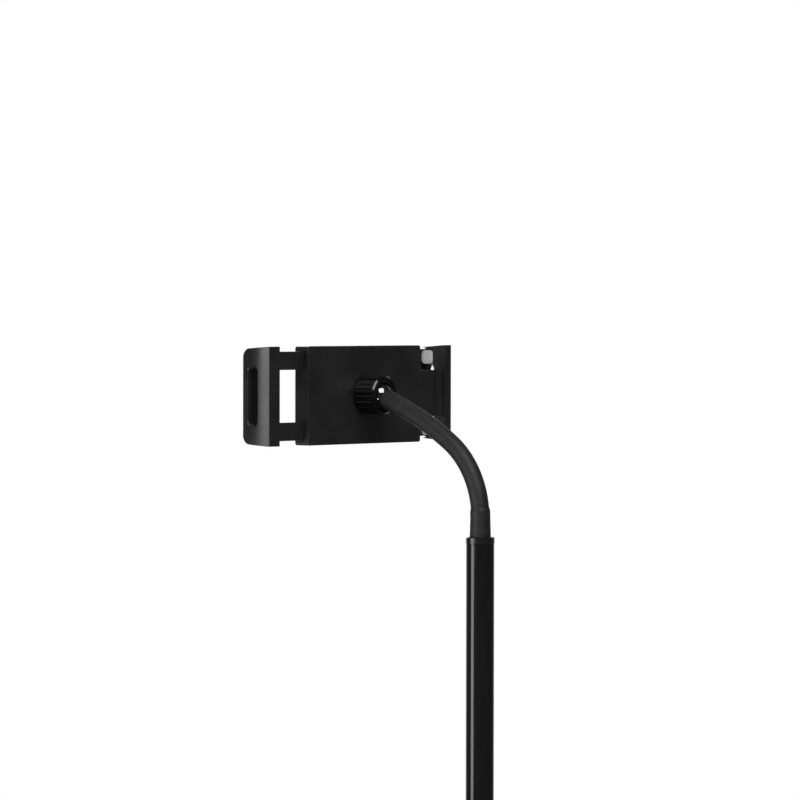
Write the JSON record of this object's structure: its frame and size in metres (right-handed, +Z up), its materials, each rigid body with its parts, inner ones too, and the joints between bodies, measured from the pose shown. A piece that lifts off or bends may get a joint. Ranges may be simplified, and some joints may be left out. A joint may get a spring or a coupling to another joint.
{
  "type": "tablet holder floor stand",
  "caption": "Floor stand that holds a tablet: spring clamp with sliding jaws on a ball joint, a short bendable neck, a telescoping pole with a twist lock and a round base.",
  "frame": {"origin": "on the pole's axis at floor level, centre of the base's underside", "axes": "+Z up along the pole, the held device's screen faces -Y, +X towards the jaw with two rails"},
  "size_m": [0.26, 0.26, 1.0078],
  "materials": {
    "pad_rubber": "matt black rubber",
    "iron": "rough casting",
    "base_finish": "satin black powder coat",
    "steel": "plain zinc plated steel",
    "pole_paint": "satin black paint",
    "trim_plastic": "satin black moulded plastic",
    "inner_plastic": "plain white bearing plastic",
    "ball_finish": "polished black",
    "neck_cover": "smooth black soft sleeve",
    "sleeve_rubber": "smooth black shrunk-on sleeve",
    "collar_plastic": "polished black moulded plastic",
    "clamp_plastic": "finely textured black moulded plastic",
    "jaw_pad": "grey soft rubber"
  },
  "bodies": {
    "base": {"base_pad": "pad_rubber", "base_weight": "iron", "base_shell": "base_finish", "pole_foot": "steel", "base_washer": "steel", "base_bolt": "steel", "lower_pole": "pole_paint", "lock_body": "trim_plastic"},
    "lock": {"lock_ring": "trim_plastic"},
    "bush": {"guide_bush": "inner_plastic"},
    "pole": {"upper_pole": "pole_paint", "pole_cap": "trim_plastic", "lower_sleeve": "sleeve_rubber", "neck_link_1": "neck_cover", "neck_core_1": "steel"},
    "neck_a": {"neck_link_2": "neck_cover", "neck_core_2": "steel"},
    "neck_b": {"neck_link_3": "neck_cover", "neck_core_3": "steel"},
    "neck_c": {"neck_link_4": "neck_cover", "neck_core_4": "steel"},
    "neck_head": {"neck_link_5": "neck_cover", "neck_core_5": "steel", "upper_ferrule": "sleeve_rubber", "ball_stud": "ball_finish"},
    "ball_cap": {"ball_pad": "inner_plastic"},
    "liner": {"ball_liner": "trim_plastic"},
    "head": {"ball_socket": "clamp_plastic", "housing_back": "clamp_plastic", "housing_front": "clamp_plastic", "cover_screws": "steel", "front_pad": "pad_rubber", "pinion_axle": "steel", "twin_spring": "steel", "wide_spring": "steel"},
    "collar": {"collar_nut": "collar_plastic"},
    "twin_jaw": {"twin_rail_jaw": "clamp_plastic", "twin_jaw_pads": "jaw_pad", "twin_rack": "inner_plastic", "twin_rack_screw": "steel"},
    "wide_jaw": {"wide_rail_jaw": "clamp_plastic", "wide_jaw_pads": "jaw_pad", "wide_rack": "inner_plastic", "wide_rack_screw": "steel"},
    "pinion": {"pinion": "inner_plastic"}
  },
  "joints": [
    {"name": "height_slide", "type": "slide", "parent": "base", "child": "bush", "axis": [0, 0, 1], "range_m": [-0.17, 0.2]},
    {"name": "lock_turn", "type": "hinge", "parent": "base", "child": "lock", "pos_m": [0, 0, 0.5], "axis": [0, 0, 1], "range_deg": [0, 90]},
    {"name": "pole_turn", "type": "hinge", "parent": "bush", "child": "pole", "pos_m": [0, 0, 0.3], "axis": [0, 0, 1], "continuous": true},
    {"name": "neck_bend_low", "type": "hinge", "parent": "pole", "child": "neck_a", "pos_m": [0, -0.00283, 0.91127], "axis": [1, 0, 0], "range_deg": [-25, 12]},
    {"name": "neck_sway_low", "type": "hinge", "parent": "neck_a", "child": "neck_b", "pos_m": [0, -0.01465, 0.93256], "axis": [0, 0.7598, 0.6501], "range_deg": [-20, 20]},
    {"name": "neck_bend_high", "type": "hinge", "parent": "neck_b", "child": "neck_c", "pos_m": [0, -0.0336, 0.94795], "axis": [1, 0, 0], "range_deg": [-12, 25]},
    {"name": "neck_sway_high", "type": "hinge", "parent": "neck_c", "child": "neck_head", "pos_m": [0, -0.05497, 0.95994], "axis": [0, 0.4389, 0.8985], "range_deg": [-20, 20]},
    {"name": "ball_roll", "type": "hinge", "parent": "neck_head", "child": "ball_cap", "pos_m": [0, -0.0883, 0.97419], "axis": [0, 0.9239, -0.3827], "continuous": true},
    {"name": "ball_tilt", "type": "hinge", "parent": "ball_cap", "child": "liner", "pos_m": [0, -0.0883, 0.97419], "axis": [1, 0, 0], "range_deg": [-45, 0]},
    {"name": "head_turn", "type": "hinge", "parent": "liner", "child": "head", "pos_m": [0, -0.0883, 0.97419], "axis": [0, 1, 0], "continuous": true},
    {"name": "nut_turn", "type": "hinge", "parent": "head", "child": "collar", "pos_m": [0, -0.0883, 0.97419], "axis": [0, 1, 0], "range_deg": [-45, 270]},
    {"name": "twin_jaw_slide", "type": "slide", "parent": "head", "child": "twin_jaw", "axis": [1, 0, 0], "range_m": [-0.022, 0.025], "stiffness_N_per_m": 200, "springref_m": -0.05, "deforming": ["twin_spring"]},
    {"name": "wide_jaw_slide", "type": "slide", "parent": "head", "child": "wide_jaw", "axis": [-1, 0, 0], "range_m": [-0.0225, 0.0255], "stiffness_N_per_m": 200, "springref_m": -0.05, "deforming": ["wide_spring"]},
    {"name": "pinion_turn", "type": "hinge", "parent": "head", "child": "pinion", "pos_m": [0, -0.1182, 0.97419], "axis": [0, 1, 0], "range_deg": [-226.1, 256.8]}
  ],
  "couplings": [
    {"joint": "wide_jaw_slide", "follows": "twin_jaw_slide", "ratio": 1},
    {"joint": "pinion_turn", "follows": "twin_jaw_slide", "rad_per_m": 178.57}
  ]
}
